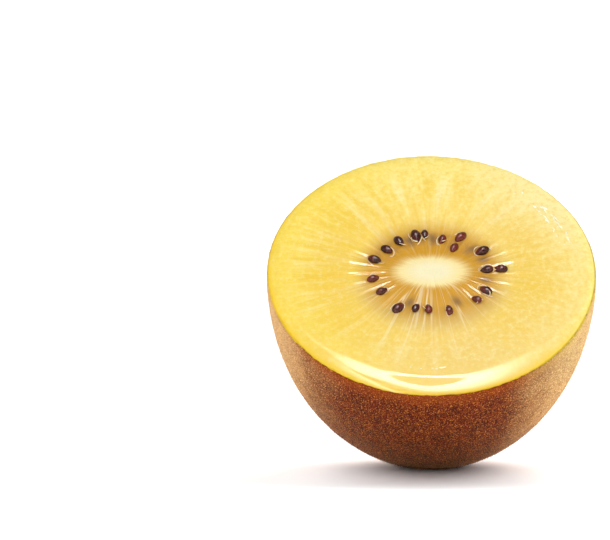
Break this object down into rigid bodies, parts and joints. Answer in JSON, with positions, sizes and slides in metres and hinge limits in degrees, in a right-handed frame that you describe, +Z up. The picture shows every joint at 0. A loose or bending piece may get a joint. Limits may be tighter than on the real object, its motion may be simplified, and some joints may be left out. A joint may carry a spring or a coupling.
{
  "type": "halved golden kiwi fruit",
  "caption": "Oval fruit cut in half across its middle, lying tilted on its rounded skin with the flat, wet golden cut face up; food prop.",
  "frame": {"origin": "middle of the small flat spot on the skin that the fruit rests on", "axes": "+Z up; +X to the right across the cut face; the cut face leans towards -Y, its outward normal 42 degrees from +Z"},
  "size_m": [0.0521, 0.0501, 0.0488],
  "materials": {
    "skin": "dry, matt brown skin with raised pores",
    "flesh": "wet, translucent golden fruit flesh",
    "core": "moist, soft cream fruit core",
    "seed": "glossy, wet dark seed",
    "fuzz": "short dry hairs"
  },
  "bodies": {
    "root": {"skin": "skin", "flesh": "flesh", "core": "core"}
  },
  "joints": []
}
